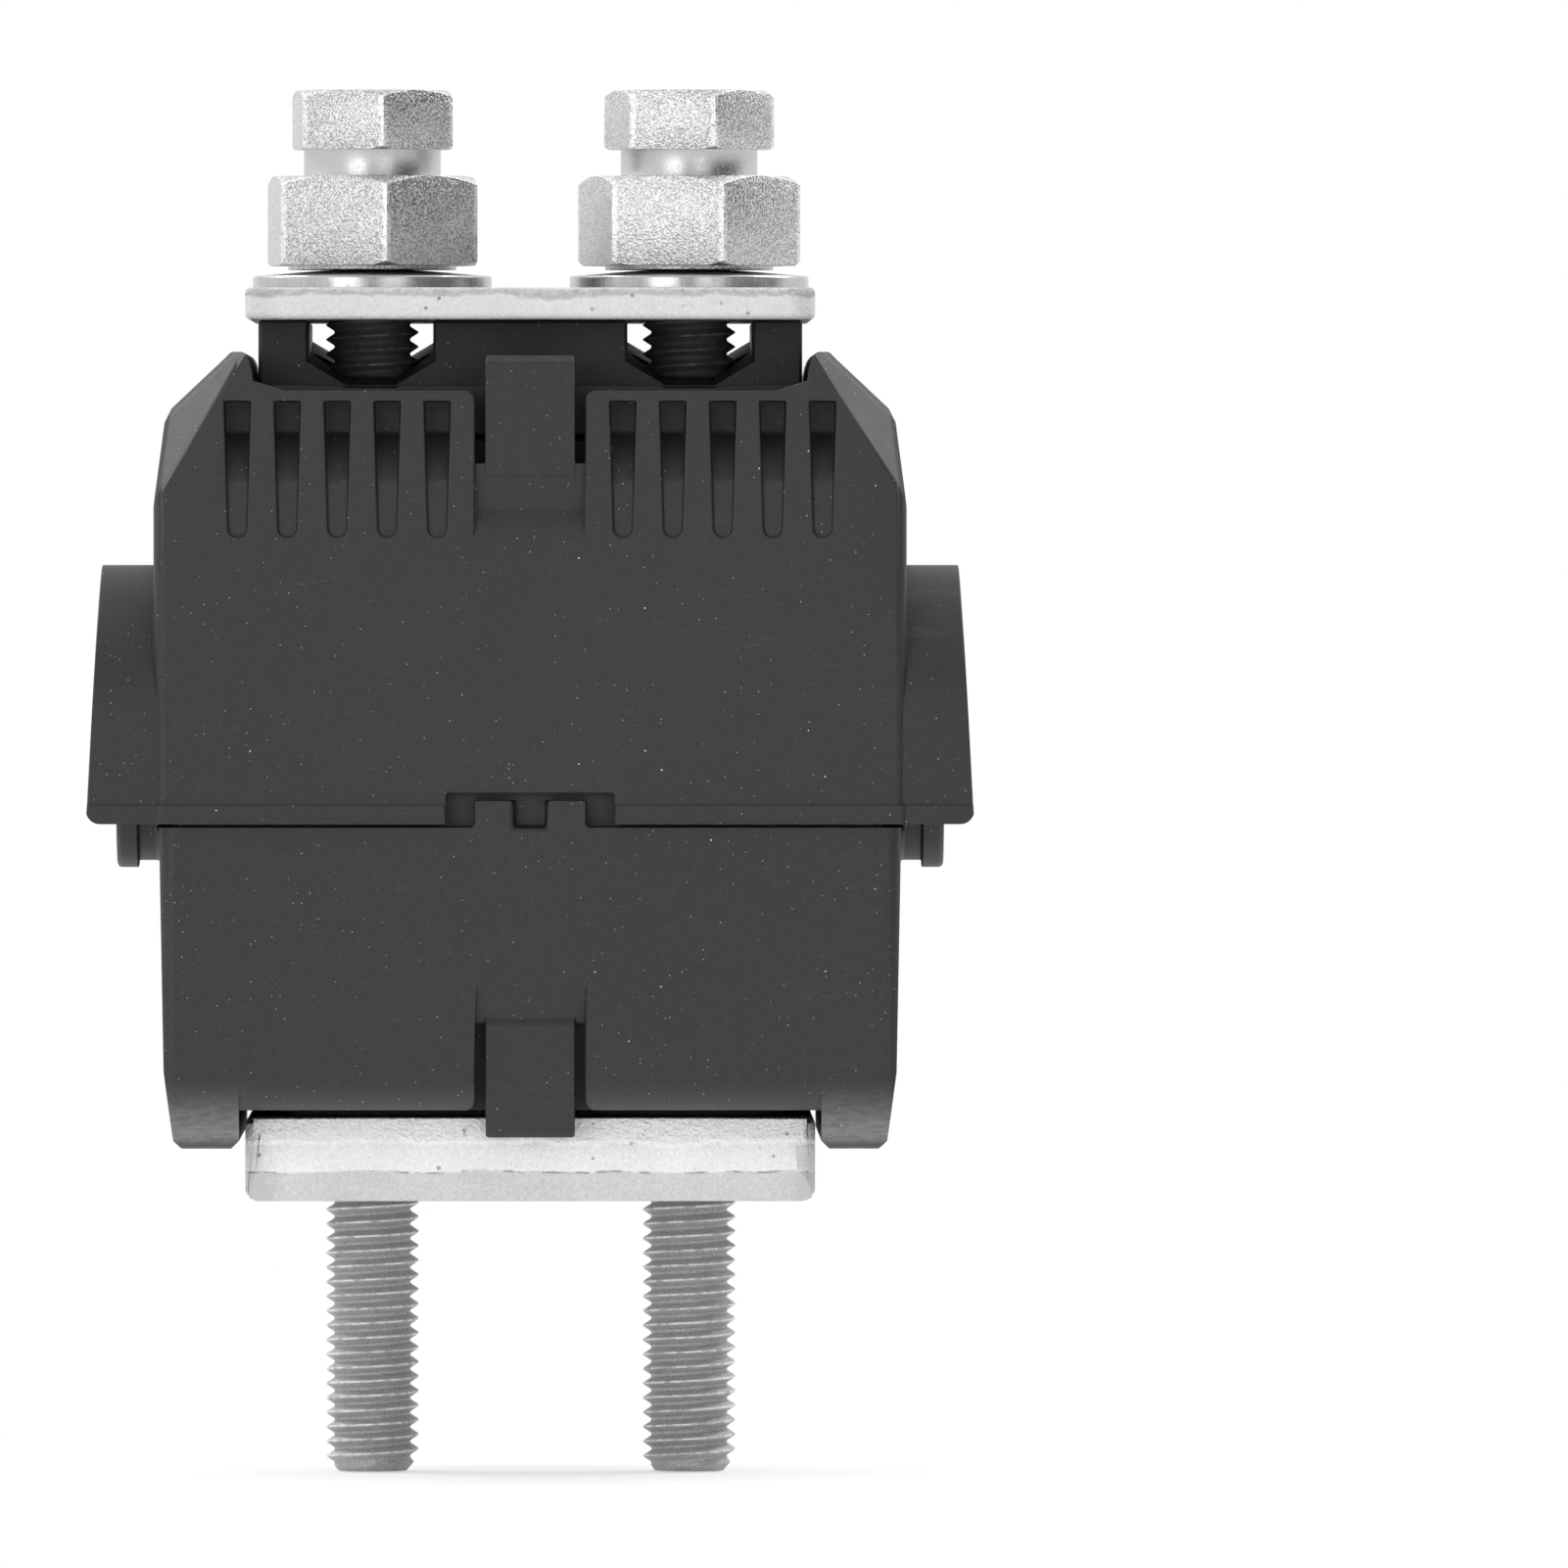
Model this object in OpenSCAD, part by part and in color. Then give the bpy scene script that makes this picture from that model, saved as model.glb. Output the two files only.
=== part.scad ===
// Two-bolt insulation piercing connector.
// X runs along the cables, the front face looks towards -Y, the bolts stand along Z.
// The origin is the middle of the main cable's axis, with the jaws closed.

/* [Cable lines] */
// Radius of the thinnest main cable over its insulation
main_r = 8; // [6.5:0.25:9]
// Radius of the thinnest branch cable over its insulation
branch_r = 7.25; // [6:0.25:8]
// Distance from the bolt line to the main cable's axis
main_reach = 18; // [17:0.25:22]
// Distance from the bolt line to the branch cable's axis
branch_reach = 18.75; // [17:0.25:22]
// Radial room between a cable and the bare plastic channel
channel_room = 0.6; // [0.3:0.1:1]

/* [Seals and blades] */
// Radial thickness of the rubber seals
seal_wall = 1.7; // [1.2:0.1:2]
// Length of each rubber seal along its cable
seal_len = 28; // [22:1:36]
// Thickness of a piercing blade
blade_t = 2.5; // [1.5:0.1:3]
// Distance of each blade from the middle, along the cables
blade_x = 4.5; // [3:0.25:5.5]
// Height of the blades' back above the cable plane
blade_back = 15.5; // [13:0.5:18]
// Half of the angle that the teeth cover round a cable
tooth_half_angle = 50; // [35:1:55]
// Teeth on each toothed arc
tooth_count = 7; // [5:1:9]
// Distance from a tooth's tip back to the seal's face
tip_set_back = 0.3; // [0.1:0.05:0.8]

/* [Housings] */
// Length of the upper housing, without its collars
body_len = 64.1; // [60:0.1:72]
// Length of the lower housing, without its tongues
lower_len = 63.2; // [59:0.1:64]
// Set-back of the lower housing's front and rear faces from the upper ones
lower_set_back = 0.3; // [0:0.1:0.6]
// Wall of the upper housing's skirt
skirt_wall = 1.8; // [1.4:0.1:2.4]
// Drop of the skirt below the cable plane
skirt_drop = 9; // [7:0.25:11]
// Height of the bead along the skirt's lower edge
bead_h = 1.6; // [1:0.1:2.4]
// Amount by which that bead stands proud
bead_proud = 0.25; // [0.1:0.05:0.5]
// Wall of the lower housing between a seal and the skirt
plug_wall = 1.5; // [1.2:0.1:2]
// Radius of the upright edges of the upper housing and the plug
edge_r = 1; // [0.5:0.1:2]
// Bore round each bolt through the housings
bolt_bore = 10.7; // [9:0.1:11]

/* [Upper housing] */
// Height of the front wall's top above the cable plane
shoulder_h = 27.9; // [26:0.1:32]
// Height of the end lips above the front wall's top
lip_h = 3.3; // [2:0.1:5]
// Height of the straight end walls above the cable plane
end_wall_h = 18; // [15:0.5:21]
// Height of the knee between an end wall and its sloped shoulder
knee_h = 25.2; // [22:0.1:26]
// Inset of that knee from the end wall
knee_in = 0.9; // [0.5:0.05:2.5]
// Width of the knee's chamfer
knee_w = 0.6; // [0.2:0.1:1]
// Inset of the lip's outer edge from the end wall
lip_in = 6; // [5.5:0.05:7]
// Thickness of the end lips at their foot
lip_t = 2.5; // [1.8:0.1:3]
// Chamfer of the end lips' outer edge
lip_edge = 0.6; // [0.2:0.1:0.8]
// Width of the round on the lips' inner side
lip_round = 1; // [0.4:0.1:1.1]
// Length of the ramp from the front wall's top up to a lip
lip_ramp = 2.6; // [1:0.1:4]
// Thickness of the walls round the spacer's recess, at the front and rear
recess_wall = 4.3; // [3.8:0.1:6]
// Depth of the spacer's recess below the front wall's top
recess_depth = 3.9; // [3:0.1:5]
// Width of the bevel on each top corner
bevel_w = 2.3; // [1:0.1:3]
// Depth of that bevel from the face
bevel_d = 3.2; // [1.5:0.1:4]

/* [Slots] */
// Slots on each side of the tab
slot_count = 5; // [3:1:5]
// Distance from the middle to the first slot
slot_first = 7.9; // [7.5:0.1:9]
// Distance between slots
slot_pitch = 4.25; // [3.6:0.05:4.3]
// Width of a slot at its top
slot_top_w = 2.27; // [1.8:0.01:2.6]
// Width of a slot at its round foot
slot_foot_w = 1.6; // [1.2:0.05:1.8]
// Height of the slots' feet above the cable plane
slot_foot_h = 15.4; // [14:0.1:18]
// Depth of a slot
slot_depth = 3.3; // [2:0.1:3.4]
// Height of the ramp at a slot's foot
slot_ramp_h = 6.1; // [3:0.1:8]
// Depth of a slot at its foot
slot_foot_depth = 0.6; // [0.3:0.05:1.2]
// Rim left above the slots
slot_rim = 0.9; // [0.3:0.05:1.2]

/* [Snap tabs] */
// Width of the recess round a tab
tab_recess_w = 9.4; // [8.5:0.1:11]
// Radius of the walls' corners beside both tabs
notch_r = 0.9; // [0.3:0.1:1.4]
// Width of a tab
tab_w = 7.6; // [6:0.1:8]
// Thickness of a tab
tab_t = 2.2; // [1.6:0.1:2.4]
// Set-back of a tab from the face
tab_set_back = 0.6; // [0.3:0.05:1]
// Depth of the crease under a tab
crease_d = 1.2; // [0.8:0.05:1.6]
// Height of the upper tab above the front wall's top
upper_tab_h = 3; // [2.4:0.1:4]
// Height of the upper tab's hook
hook_h = 2.5; // [1.5:0.1:3]
// Length of the lower tab's recess, up from the lower housing's base
lower_tab_recess = 10.8; // [9:0.1:14]
// Length of the lower tab's free part, up from that base
lower_tab_free = 7.3; // [5:0.1:8]
// Reach of the lower tab below that base
lower_tab_reach = 2.3; // [1.5:0.1:3]

/* [Collars and tongues] */
// Reach of the upper collars beyond the upper housing
collar_reach = 5.75; // [4:0.05:8]
// Wall of the upper collars
collar_wall = 2.5; // [2:0.1:3]
// Set-back of the collars from the front and rear faces
collar_set_back = 0.25; // [0.1:0.05:0.6]
// Draft of the collars' ends in degrees
collar_draft = 3.1; // [0:0.1:4]
// Reach of the lower tongues beyond the lower housing
tongue_reach = 3.7; // [2:0.1:5]
// Drop of the tongues' round below the cable plane
tongue_sag = 2.55; // [1.5:0.05:4]
// Width of the rim at a tongue's end
rim_w = 1.85; // [1:0.05:2]
// Depth of the groove behind that rim
groove_d = 0.6; // [0.3:0.05:0.8]
// Radius of the collars' lower corners
collar_corner_r = 1.2; // [0.6:0.1:1.5]

/* [Keys] */
// Width of the notch in the skirt's lower edge
key_notch_w = 14.4; // [12:0.1:18]
// Height of that notch
key_notch_h = 2.6; // [1.8:0.1:3.5]
// Width of a key
key_w = 3.3; // [2:0.1:4]
// Distance of each key from the middle
key_x = 3.05; // [2.6:0.05:4]

/* [Lower housing] */
// Depth of the lower housing's base below the cable plane
base_drop = 33.4; // [30:0.1:40]
// Height of the end feet below that base
foot_h = 3.3; // [2:0.1:5]
// Inset of a foot's outer edge from the housing's end
foot_in = 1.2; // [0.5:0.1:2]
// Chamfer of the feet's lower edges
foot_edge = 0.7; // [0.3:0.1:1.2]
// Height of the pads that carry the lower plate
pad_h = 0.7; // [0.3:0.05:1.2]
// Radius of the base's front and rear edges
base_edge_r = 2.4; // [0.5:0.1:3]
// Radius of the feet's front and rear lower edges
foot_edge_r = 4; // [1:0.1:5]
// Radius of the lower housing's upright edges
lower_edge_r = 1.4; // [0.5:0.1:2]

/* [Plates and spacer] */
// Length of both steel plates along the cables
plate_len = 48.6; // [44:0.1:50]
// Set-back of the plates' edges from the housing's faces
plate_set_back = 3.8; // [3.6:0.1:6]
// Radius of the plates' corners
plate_corner_r = 2; // [1:0.1:4]
// Thickness of the upper plate
upper_plate_t = 2.7; // [2:0.1:4]
// Thickness of the lower, tapped plate
lower_plate_t = 7.1; // [6:0.1:10]
// Height of the bevel along the lower plate's upper edge
plate_bevel_top = 1.9; // [0.8:0.1:2.4]
// Height of the bevel along the lower plate's lower edge
plate_bevel_foot = 2.8; // [1:0.1:3.4]
// Depth of the lower plate's bevels
plate_bevel_d = 1.3; // [0.6:0.1:2]
// Radius of the lower plate's ends along their lower edges
plate_end_r = 1.2; // [0.5:0.1:2]
// Height of the spacer under the upper plate
spacer_h = 10; // [8:0.1:14]
// Height of the spacer's flange
flange_h = 4.3; // [3.4:0.1:5]
// Set-back of the spacer's block from its flange, front and rear
block_set_back = 7; // [4:0.1:10]
// Width of the windows round the bolts in the spacer
window_w = 10.7; // [9:0.1:12]
// Width of the windows' floor between its sloped feet
window_floor_w = 4.3; // [2:0.1:6]
// Height of the windows' upright sides
window_side_h = 2.6; // [2:0.1:4.5]
// Height of the windows' sloped feet
window_foot_h = 1.9; // [1:0.1:2.2]
// Rise of the windows' floor towards the rear in degrees
window_rise = 3; // [0:0.1:4]

/* [Bolts and washers] */
// Distance between the two bolts
bolt_spacing = 27.3; // [25:0.1:30]
// Thread diameter of the bolts
bolt_d = 8; // [6:0.5:8]
// Length of a bolt below its head
bolt_len = 103.5; // [96:0.5:110]
// Width across flats of the lower hexagon
drive_af = 17; // [15:0.5:19]
// Height of the lower hexagon
drive_h = 7.7; // [6:0.1:9]
// Diameter of the shear neck
neck_d = 11.8; // [9:0.1:12]
// Height of the shear neck
neck_h = 2.3; // [1.5:0.1:4]
// Width across flats of the upper hexagon
shear_af = 13; // [12:0.5:15]
// Height of the upper hexagon
shear_h = 5.1; // [4:0.1:7]
// Angle of the chamfers on the hexagons' corners in degrees
hex_chamfer = 30; // [20:1:40]
// Diameter of the round face under the lower hexagon
face_d = 14.5; // [12.5:0.1:15]
// Height of that face
face_h = 0.35; // [0.2:0.05:0.8]
// Chamfer of a bolt's tip
tip_chamfer = 1; // [0.4:0.1:1.5]
// Turn of the left bolt's hexagons in degrees
left_turn = 7.7; // [0:0.1:60]
// Turn of the right bolt's hexagons in degrees
right_turn = 17.5; // [0:0.1:60]
// Outer diameter of the spring washers
washer_d = 20.6; // [16:0.1:22]
// Thickness of the spring washers
washer_t = 1.2; // [1:0.1:2]
// Height of the washers' cone
washer_cone = 0.5; // [0.2:0.05:0.8]

/* [Fits] */
// Gap between the upper and lower housings
jaw_gap = 0.3; // [0.2:0.05:0.5]
// Gap round pieces that are laid into a housing
seat_gap = 0.15; // [0.1:0.05:0.25]
// Gap between the lower plate's ends and the feet
foot_gap = 0.5; // [0.3:0.05:0.8]
// Gap between a bolt's head and its washer
head_gap = 0.05; // [0.02:0.01:0.1]
// Radial gap of a bolt in the tapped plate
thread_gap = 0.05; // [0.02:0.01:0.1]
// Radial gap of a bolt in its washer
washer_gap = 0.2; // [0.1:0.05:0.5]
// Radial gap of a bolt in the upper plate
plate_gap = 0.5; // [0.3:0.05:1]

/* [Hidden] */
$fn = 64;
over = 1;

nylon = "#3c3c3e";
rubber = "#202123";
zinc = "#c3c7ca";
tin = "#b9b2a4";

// Plan positions, with the bolt line main_reach behind the main cable's axis.
bolt_y = main_reach;
branch_y = main_reach + branch_reach;
face_room = seal_wall + plug_wall + jaw_gap + skirt_wall;
front_y = -(main_r + face_room);
rear_y = branch_y + branch_r + face_room;
lower_front_y = front_y + lower_set_back;
lower_rear_y = rear_y - lower_set_back;

// The main and the branch line, each as [place of its axis in Y, cable radius].
lines = [[0, main_r], [branch_y, branch_r]];

body_half = body_len / 2;
lower_half = lower_len / 2;
cavity_half = body_half - skirt_wall;
plug_half = cavity_half - jaw_gap;

// Heights above the cable plane.
lip_top = shoulder_h + lip_h;
floor_z = shoulder_h - recess_depth;
flange_top = floor_z + flange_h;
spacer_top = floor_z + spacer_h;
upper_plate_top = spacer_top + upper_plate_t;
washer_top = upper_plate_top + washer_t + washer_cone;
head_z = washer_top + head_gap;
drive_z = head_z + face_h;
neck_z = drive_z + drive_h;
shear_z = neck_z + neck_h;
step_z = -(skirt_drop + jaw_gap);
pad_z = -(base_drop + pad_h);
foot_z = -(base_drop + foot_h);

// Lengths along the cables that follow from the plates.
recess_half = body_half - lip_in - lip_t;
spacer_half = recess_half - 2 * seat_gap;
foot_inner = plate_len / 2 + foot_gap;

// Profile drawn in Y and Z, extruded along X.
module along_x(len) rotate([90, 0, 90]) linear_extrude(len, center = true) children();

// Profile drawn in X and Z, extruded along Y from y0 to y1.
module along_y(y0, y1) translate([0, y1, 0]) rotate([90, 0, 0]) linear_extrude(y1 - y0) children();

// Plan outline with round corners, centred in X.
module plan(half, y0, y1, r) {
    translate([-half, y0 + r]) square([2 * half, y1 - y0 - 2 * r]);
    translate([r - half, y0]) square([2 * (half - r), y1 - y0]);
    for (x = [r - half, half - r], y = [y0 + r, y1 - r]) translate([x, y]) circle(r);
}

// Repeats a feature on the front and rear faces; its own Y runs inwards from the face.
module on_faces(y0, y1) {
    translate([0, y0, 0]) children();
    translate([0, y1, 0]) mirror([0, 1, 0]) children();
}

module on_ends() {
    children();
    mirror([1, 0, 0]) children();
}

module at_bolts() {
    for (side = [-1, 1]) translate([side * bolt_spacing / 2, bolt_y, 0]) children();
}

// Bar along X: half round about the height mid, with straight sides on to the height open_to.
module channel(y, r, mid, open_to, len) {
    along_x(len) translate([y, mid]) {
        intersection() {
            circle(r);
            translate([-r, open_to > mid ? -r : 0]) square([2 * r, r]);
        }
        translate([-r, min(0, open_to - mid)]) square([2 * r, abs(open_to - mid)]);
    }
}

// Profile to cut away outside a round corner, with the corner itself at the origin.
module corner_cut(r) difference() {
    translate([-over, -over]) square(r + over);
    translate([r, r]) circle(r);
}

// Room for the two blades of one half, from the cable plane to their backs.
module blade_slots() {
    y0 = -(main_r + seal_wall) * sin(tooth_half_angle) - seat_gap;
    y1 = branch_y + (branch_r + seal_wall) * sin(tooth_half_angle) + seat_gap;
    w = blade_t + 2 * seat_gap;
    for (x = [-blade_x, blade_x]) {
        translate([x - w / 2, y0, -over]) cube([w, y1 - y0, blade_back + over]);
    }
}

// Slot in the front wall: a tapered slit with a round foot.
module slot_face() {
    foot_r = slot_foot_w / 2;
    top = shoulder_h - slot_rim;
    translate([0, slot_foot_h + foot_r]) circle(foot_r);
    polygon([
        [-foot_r, slot_foot_h + foot_r], [foot_r, slot_foot_h + foot_r],
        [slot_top_w / 2, top], [-slot_top_w / 2, top]
    ]);
}

// All slots of one face, each with a ramp that slopes out towards its foot.
module slots() {
    top = shoulder_h - slot_rim;
    intersection() {
        for (i = [0 : slot_count - 1], side = [-1, 1]) {
            translate([side * (slot_first + i * slot_pitch), 0, 0]) along_y(-over, slot_depth) slot_face();
        }
        along_x(body_len) polygon([
            [-over, slot_foot_h - over], [slot_foot_depth, slot_foot_h],
            [slot_depth, slot_foot_h + slot_ramp_h], [slot_depth, top + over], [-over, top + over]
        ]);
    }
}

// Opening round the upper tab, with a crease under it and a slit on each side.
module upper_tab_recess() {
    crease_z = slot_foot_h + 2 * crease_d;
    root_z = crease_z + recess_depth;
    along_x(tab_recess_w) {
        polygon([
            [-over, slot_foot_h], [0, slot_foot_h], [crease_d, crease_z], [tab_set_back, root_z],
            [tab_set_back, lip_top], [-over, lip_top]
        ]);
        translate([-over, root_z]) square([recess_wall + 2 * over, lip_top - root_z]);
    }
    on_ends() translate([tab_recess_w / 2, 0, shoulder_h]) mirror([0, 0, 1])
        along_y(-over, recess_wall + over) corner_cut(notch_r);
}

// Snap tab of the upper housing, with a hook over the spacer's flange.
module upper_tab() {
    root_z = slot_foot_h + 2 * crease_d + recess_depth;
    top = shoulder_h + upper_tab_h;
    back = tab_set_back + tab_t;
    hook = recess_wall + 3 * seat_gap + tab_set_back;
    hook_z = flange_top + seat_gap;
    along_x(tab_w) polygon([
        [tab_set_back, root_z - over], [tab_set_back, top - tab_set_back], [2 * tab_set_back, top],
        [back, top], [hook, min(top, hook_z + hook_h) - hook_h / 2], [hook, hook_z],
        [back, hook_z], [back, root_z - over]
    ]);
}

// Bevel across the left top corner of the upper housing, along its sloped shoulder.
module corner_bevel() {
    slope = atan2(shoulder_h - end_wall_h, lip_in);
    translate([-body_half, 0, end_wall_h]) rotate([0, -slope, 0])
        along_x(body_len) polygon([[-over, 0], [0, 0], [2 * bevel_d, 2 * bevel_w], [-over, 2 * bevel_w]]);
}

// Front outline of the upper housing.
module upper_outline() {
    lip_x = body_half - lip_in;
    inner_side = [for (a = [90 : -15 : 15])
        [recess_half + lip_round * (1 - cos(a)), shoulder_h + lip_h * sin(a)]
    ];
    right = concat([
        [body_half, -skirt_drop], [body_half, end_wall_h], [body_half - knee_in, knee_h],
        [body_half - knee_in - knee_w, knee_h + 2 * knee_w],
        [lip_x, lip_top - lip_edge], [lip_x - lip_edge, lip_top]
    ], inner_side, [[recess_half - lip_ramp, shoulder_h]]);
    left = [for (i = [len(right) - 1 : -1 : 0]) [-right[i][0], right[i][1]]];
    polygon(concat(right, left));
}

module upper_housing() color(nylon) {
    difference() {
        union() {
            intersection() {
                along_y(front_y, rear_y) upper_outline();
                translate([0, 0, -skirt_drop])
                    linear_extrude(lip_top + skirt_drop) plan(body_half, front_y, rear_y, edge_r);
            }
            translate([0, 0, -skirt_drop]) linear_extrude(bead_h)
                plan(body_half + bead_proud, front_y - bead_proud, rear_y + bead_proud, edge_r);
            for (line = lines) {
                outer = line[1] + face_room - collar_set_back;
                collar_len = body_len + 2 * collar_reach;
                channel(line[0], outer, 0, -skirt_drop, collar_len);
                translate([0, line[0], bead_h / 2 - skirt_drop])
                    cube([collar_len, 2 * (outer + bead_proud), bead_h], center = true);
            }
        }
        // Skirt cavity for the lower housing's plug, bolt bores, and the recess for the spacer.
        translate([0, 0, -skirt_drop - over]) linear_extrude(skirt_drop + over + jaw_gap)
            plan(cavity_half, front_y + skirt_wall, rear_y - skirt_wall, edge_r);
        at_bolts() cylinder(d = bolt_bore, h = shoulder_h);
        translate([-recess_half, front_y + recess_wall, floor_z])
            cube([2 * recess_half, rear_y - front_y - 2 * recess_wall, lip_top]);
        // Cable channels, seal seats and the collars' wider mouths.
        for (line = lines) {
            collar_r = line[1] + face_room - collar_set_back - collar_wall;
            mouth_len = collar_reach + skirt_wall + over;
            channel(line[0], line[1] + channel_room, 0, -over, body_len);
            channel(line[0], line[1] + seal_wall, 0, -over, seal_len + 2 * seat_gap);
            on_ends() translate([cavity_half + mouth_len / 2, 0, 0])
                channel(line[0], collar_r, 0, -skirt_drop - over, mouth_len);
        }
        blade_slots();
        // Drafted ends and round lower corners of the collars.
        on_ends() translate([-body_half - collar_reach, 0, -skirt_drop]) {
            along_y(front_y - over, rear_y + over) corner_cut(collar_corner_r);
            rotate([0, collar_draft, 0]) translate([-collar_reach, front_y - over, -skirt_drop])
                cube([collar_reach, rear_y - front_y + 2 * over, 2 * (shoulder_h + skirt_drop)]);
        }
        on_faces(front_y, rear_y) {
            slots();
            upper_tab_recess();
            on_ends() corner_bevel();
            translate([-key_notch_w / 2, -over, -skirt_drop - over])
                cube([key_notch_w, skirt_wall + 2 * over, key_notch_h + over]);
        }
    }
    on_faces(front_y, rear_y) upper_tab();
}

// Front outline of the lower housing, with its end feet.
module lower_outline() {
    foot_outer = lower_half - foot_in;
    right = [
        [lower_half, step_z], [lower_half - foot_in / 3, foot_h - base_drop],
        [foot_outer, foot_z + foot_edge], [foot_outer - foot_edge, foot_z],
        [foot_inner + foot_edge, foot_z], [foot_inner, foot_z + foot_edge], [foot_inner, -base_drop]
    ];
    left = [for (i = [len(right) - 1 : -1 : 0]) [-right[i][0], right[i][1]]];
    polygon(concat(right, left));
}

// Rounds along the lower edges of one face: the base's, the feet's, and beside the tab.
module lower_edges() {
    foot_w = lower_half - foot_inner;
    translate([0, 0, -base_drop]) along_x(2 * foot_inner) corner_cut(base_edge_r);
    on_ends() {
        translate([foot_inner + foot_w / 2, 0, foot_z]) along_x(foot_w) corner_cut(foot_edge_r);
        translate([tab_recess_w / 2, 0, -base_drop])
            along_y(-over, plate_set_back - lower_set_back) corner_cut(notch_r);
    }
}

// Opening round the lower tab, with a slope into it and a slit on each side.
module lower_tab_recess() {
    free_z = lower_tab_free - base_drop;
    along_x(tab_recess_w) {
        polygon([
            [-over, lower_tab_recess - base_drop], [0, lower_tab_recess - base_drop],
            [crease_d, free_z], [crease_d, foot_z - over], [-over, foot_z - over]
        ]);
        translate([-over, foot_z - over])
            square([plate_set_back - lower_set_back + over, free_z - foot_z + over]);
    }
}

// Snap tab of the lower housing, which bears on the lower plate's edge.
module lower_tab() {
    root_z = lower_tab_free - base_drop;
    foot = -base_drop - lower_tab_reach;
    back = tab_set_back + tab_t;
    bump = plate_set_back - lower_set_back - seat_gap;
    along_x(tab_w) polygon([
        [tab_set_back, root_z], [crease_d, root_z + over], [back, root_z + over],
        [back, foot + 2 * tab_set_back], [bump, foot + tab_set_back], [bump, foot],
        [2 * tab_set_back, foot], [tab_set_back, foot + tab_set_back]
    ]);
}

module lower_housing() color(nylon) {
    difference() {
        union() {
            intersection() {
                along_y(lower_front_y, lower_rear_y) lower_outline();
                translate([0, 0, foot_z]) linear_extrude(step_z - foot_z)
                    plan(lower_half, lower_front_y, lower_rear_y, lower_edge_r);
            }
            translate([0, 0, step_z - over]) linear_extrude(over - step_z - jaw_gap)
                plan(plug_half, front_y + skirt_wall + jaw_gap, rear_y - skirt_wall - jaw_gap, edge_r);
            for (line = lines) {
                outer = line[1] + face_room - collar_set_back - collar_wall - jaw_gap;
                tongue_end = lower_half + tongue_reach;
                channel(line[0], outer - groove_d, -tongue_sag, -jaw_gap, 2 * tongue_end);
                on_ends() translate([tongue_end - rim_w / 2, 0, 0])
                    channel(line[0], outer, -tongue_sag, -jaw_gap, rim_w);
            }
            on_faces(lower_front_y, lower_rear_y) for (x = [-key_x, key_x]) {
                translate([x - key_w / 2, 0, step_z - over])
                    cube([key_w, skirt_wall + 2 * jaw_gap, key_notch_h + over - jaw_gap]);
            }
        }
        // Cable channels, seal seats and the tongues' deeper troughs.
        for (line = lines) {
            trough_len = lower_half + tongue_reach - plug_half + over;
            channel(line[0], line[1] + channel_room, 0, over, body_len);
            channel(line[0], line[1] + seal_wall, 0, over, seal_len + 2 * seat_gap);
            on_ends() translate([plug_half + trough_len / 2, 0, 0])
                channel(line[0], line[1] + channel_room, -tongue_sag, over, trough_len);
        }
        mirror([0, 0, 1]) blade_slots();
        at_bolts() translate([0, 0, foot_z]) cylinder(d = bolt_bore, h = -foot_z);
        on_faces(lower_front_y, lower_rear_y) {
            lower_edges();
            lower_tab_recess();
        }
    }
    on_faces(lower_front_y, lower_rear_y) lower_tab();
    // Pads that carry the lower plate.
    difference() {
        pad_half = foot_inner - base_edge_r - over;
        pad_y = plate_set_back + plate_bevel_d + base_edge_r + over;
        translate([0, 0, pad_z]) linear_extrude(pad_h)
            plan(pad_half, lower_front_y + pad_y, lower_rear_y - pad_y, plate_corner_r);
        at_bolts() translate([0, 0, pad_z - over]) cylinder(d = bolt_bore, h = pad_h + 2 * over);
    }
}

// Plan of both steel plates.
module plate_plan() {
    plan(plate_len / 2, front_y + plate_set_back, rear_y - plate_set_back, plate_corner_r);
}

module upper_plate() color(zinc) difference() {
    translate([0, 0, spacer_top]) linear_extrude(upper_plate_t) plate_plan();
    at_bolts() translate([0, 0, spacer_top - over])
        cylinder(d = bolt_d + 2 * plate_gap, h = upper_plate_t + 2 * over);
}

module lower_plate() color(zinc) {
    y0 = front_y + plate_set_back;
    y1 = rear_y - plate_set_back;
    foot = pad_z - lower_plate_t;
    difference() {
        intersection() {
            translate([0, 0, foot]) linear_extrude(lower_plate_t) plate_plan();
            along_x(plate_len) polygon([
                [y0 + plate_bevel_d, foot], [y0, foot + plate_bevel_foot],
                [y0, pad_z - plate_bevel_top], [y0 + plate_bevel_d, pad_z],
                [y1 - plate_bevel_d, pad_z], [y1, pad_z - plate_bevel_top],
                [y1, foot + plate_bevel_foot], [y1 - plate_bevel_d, foot]
            ]);
        }
        at_bolts() translate([0, 0, foot - over])
            cylinder(d = bolt_d + 2 * thread_gap, h = lower_plate_t + 2 * over);
        on_ends() translate([-plate_len / 2, 0, foot])
            along_y(y0 - over, y1 + over) corner_cut(plate_end_r);
    }
}

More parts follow.
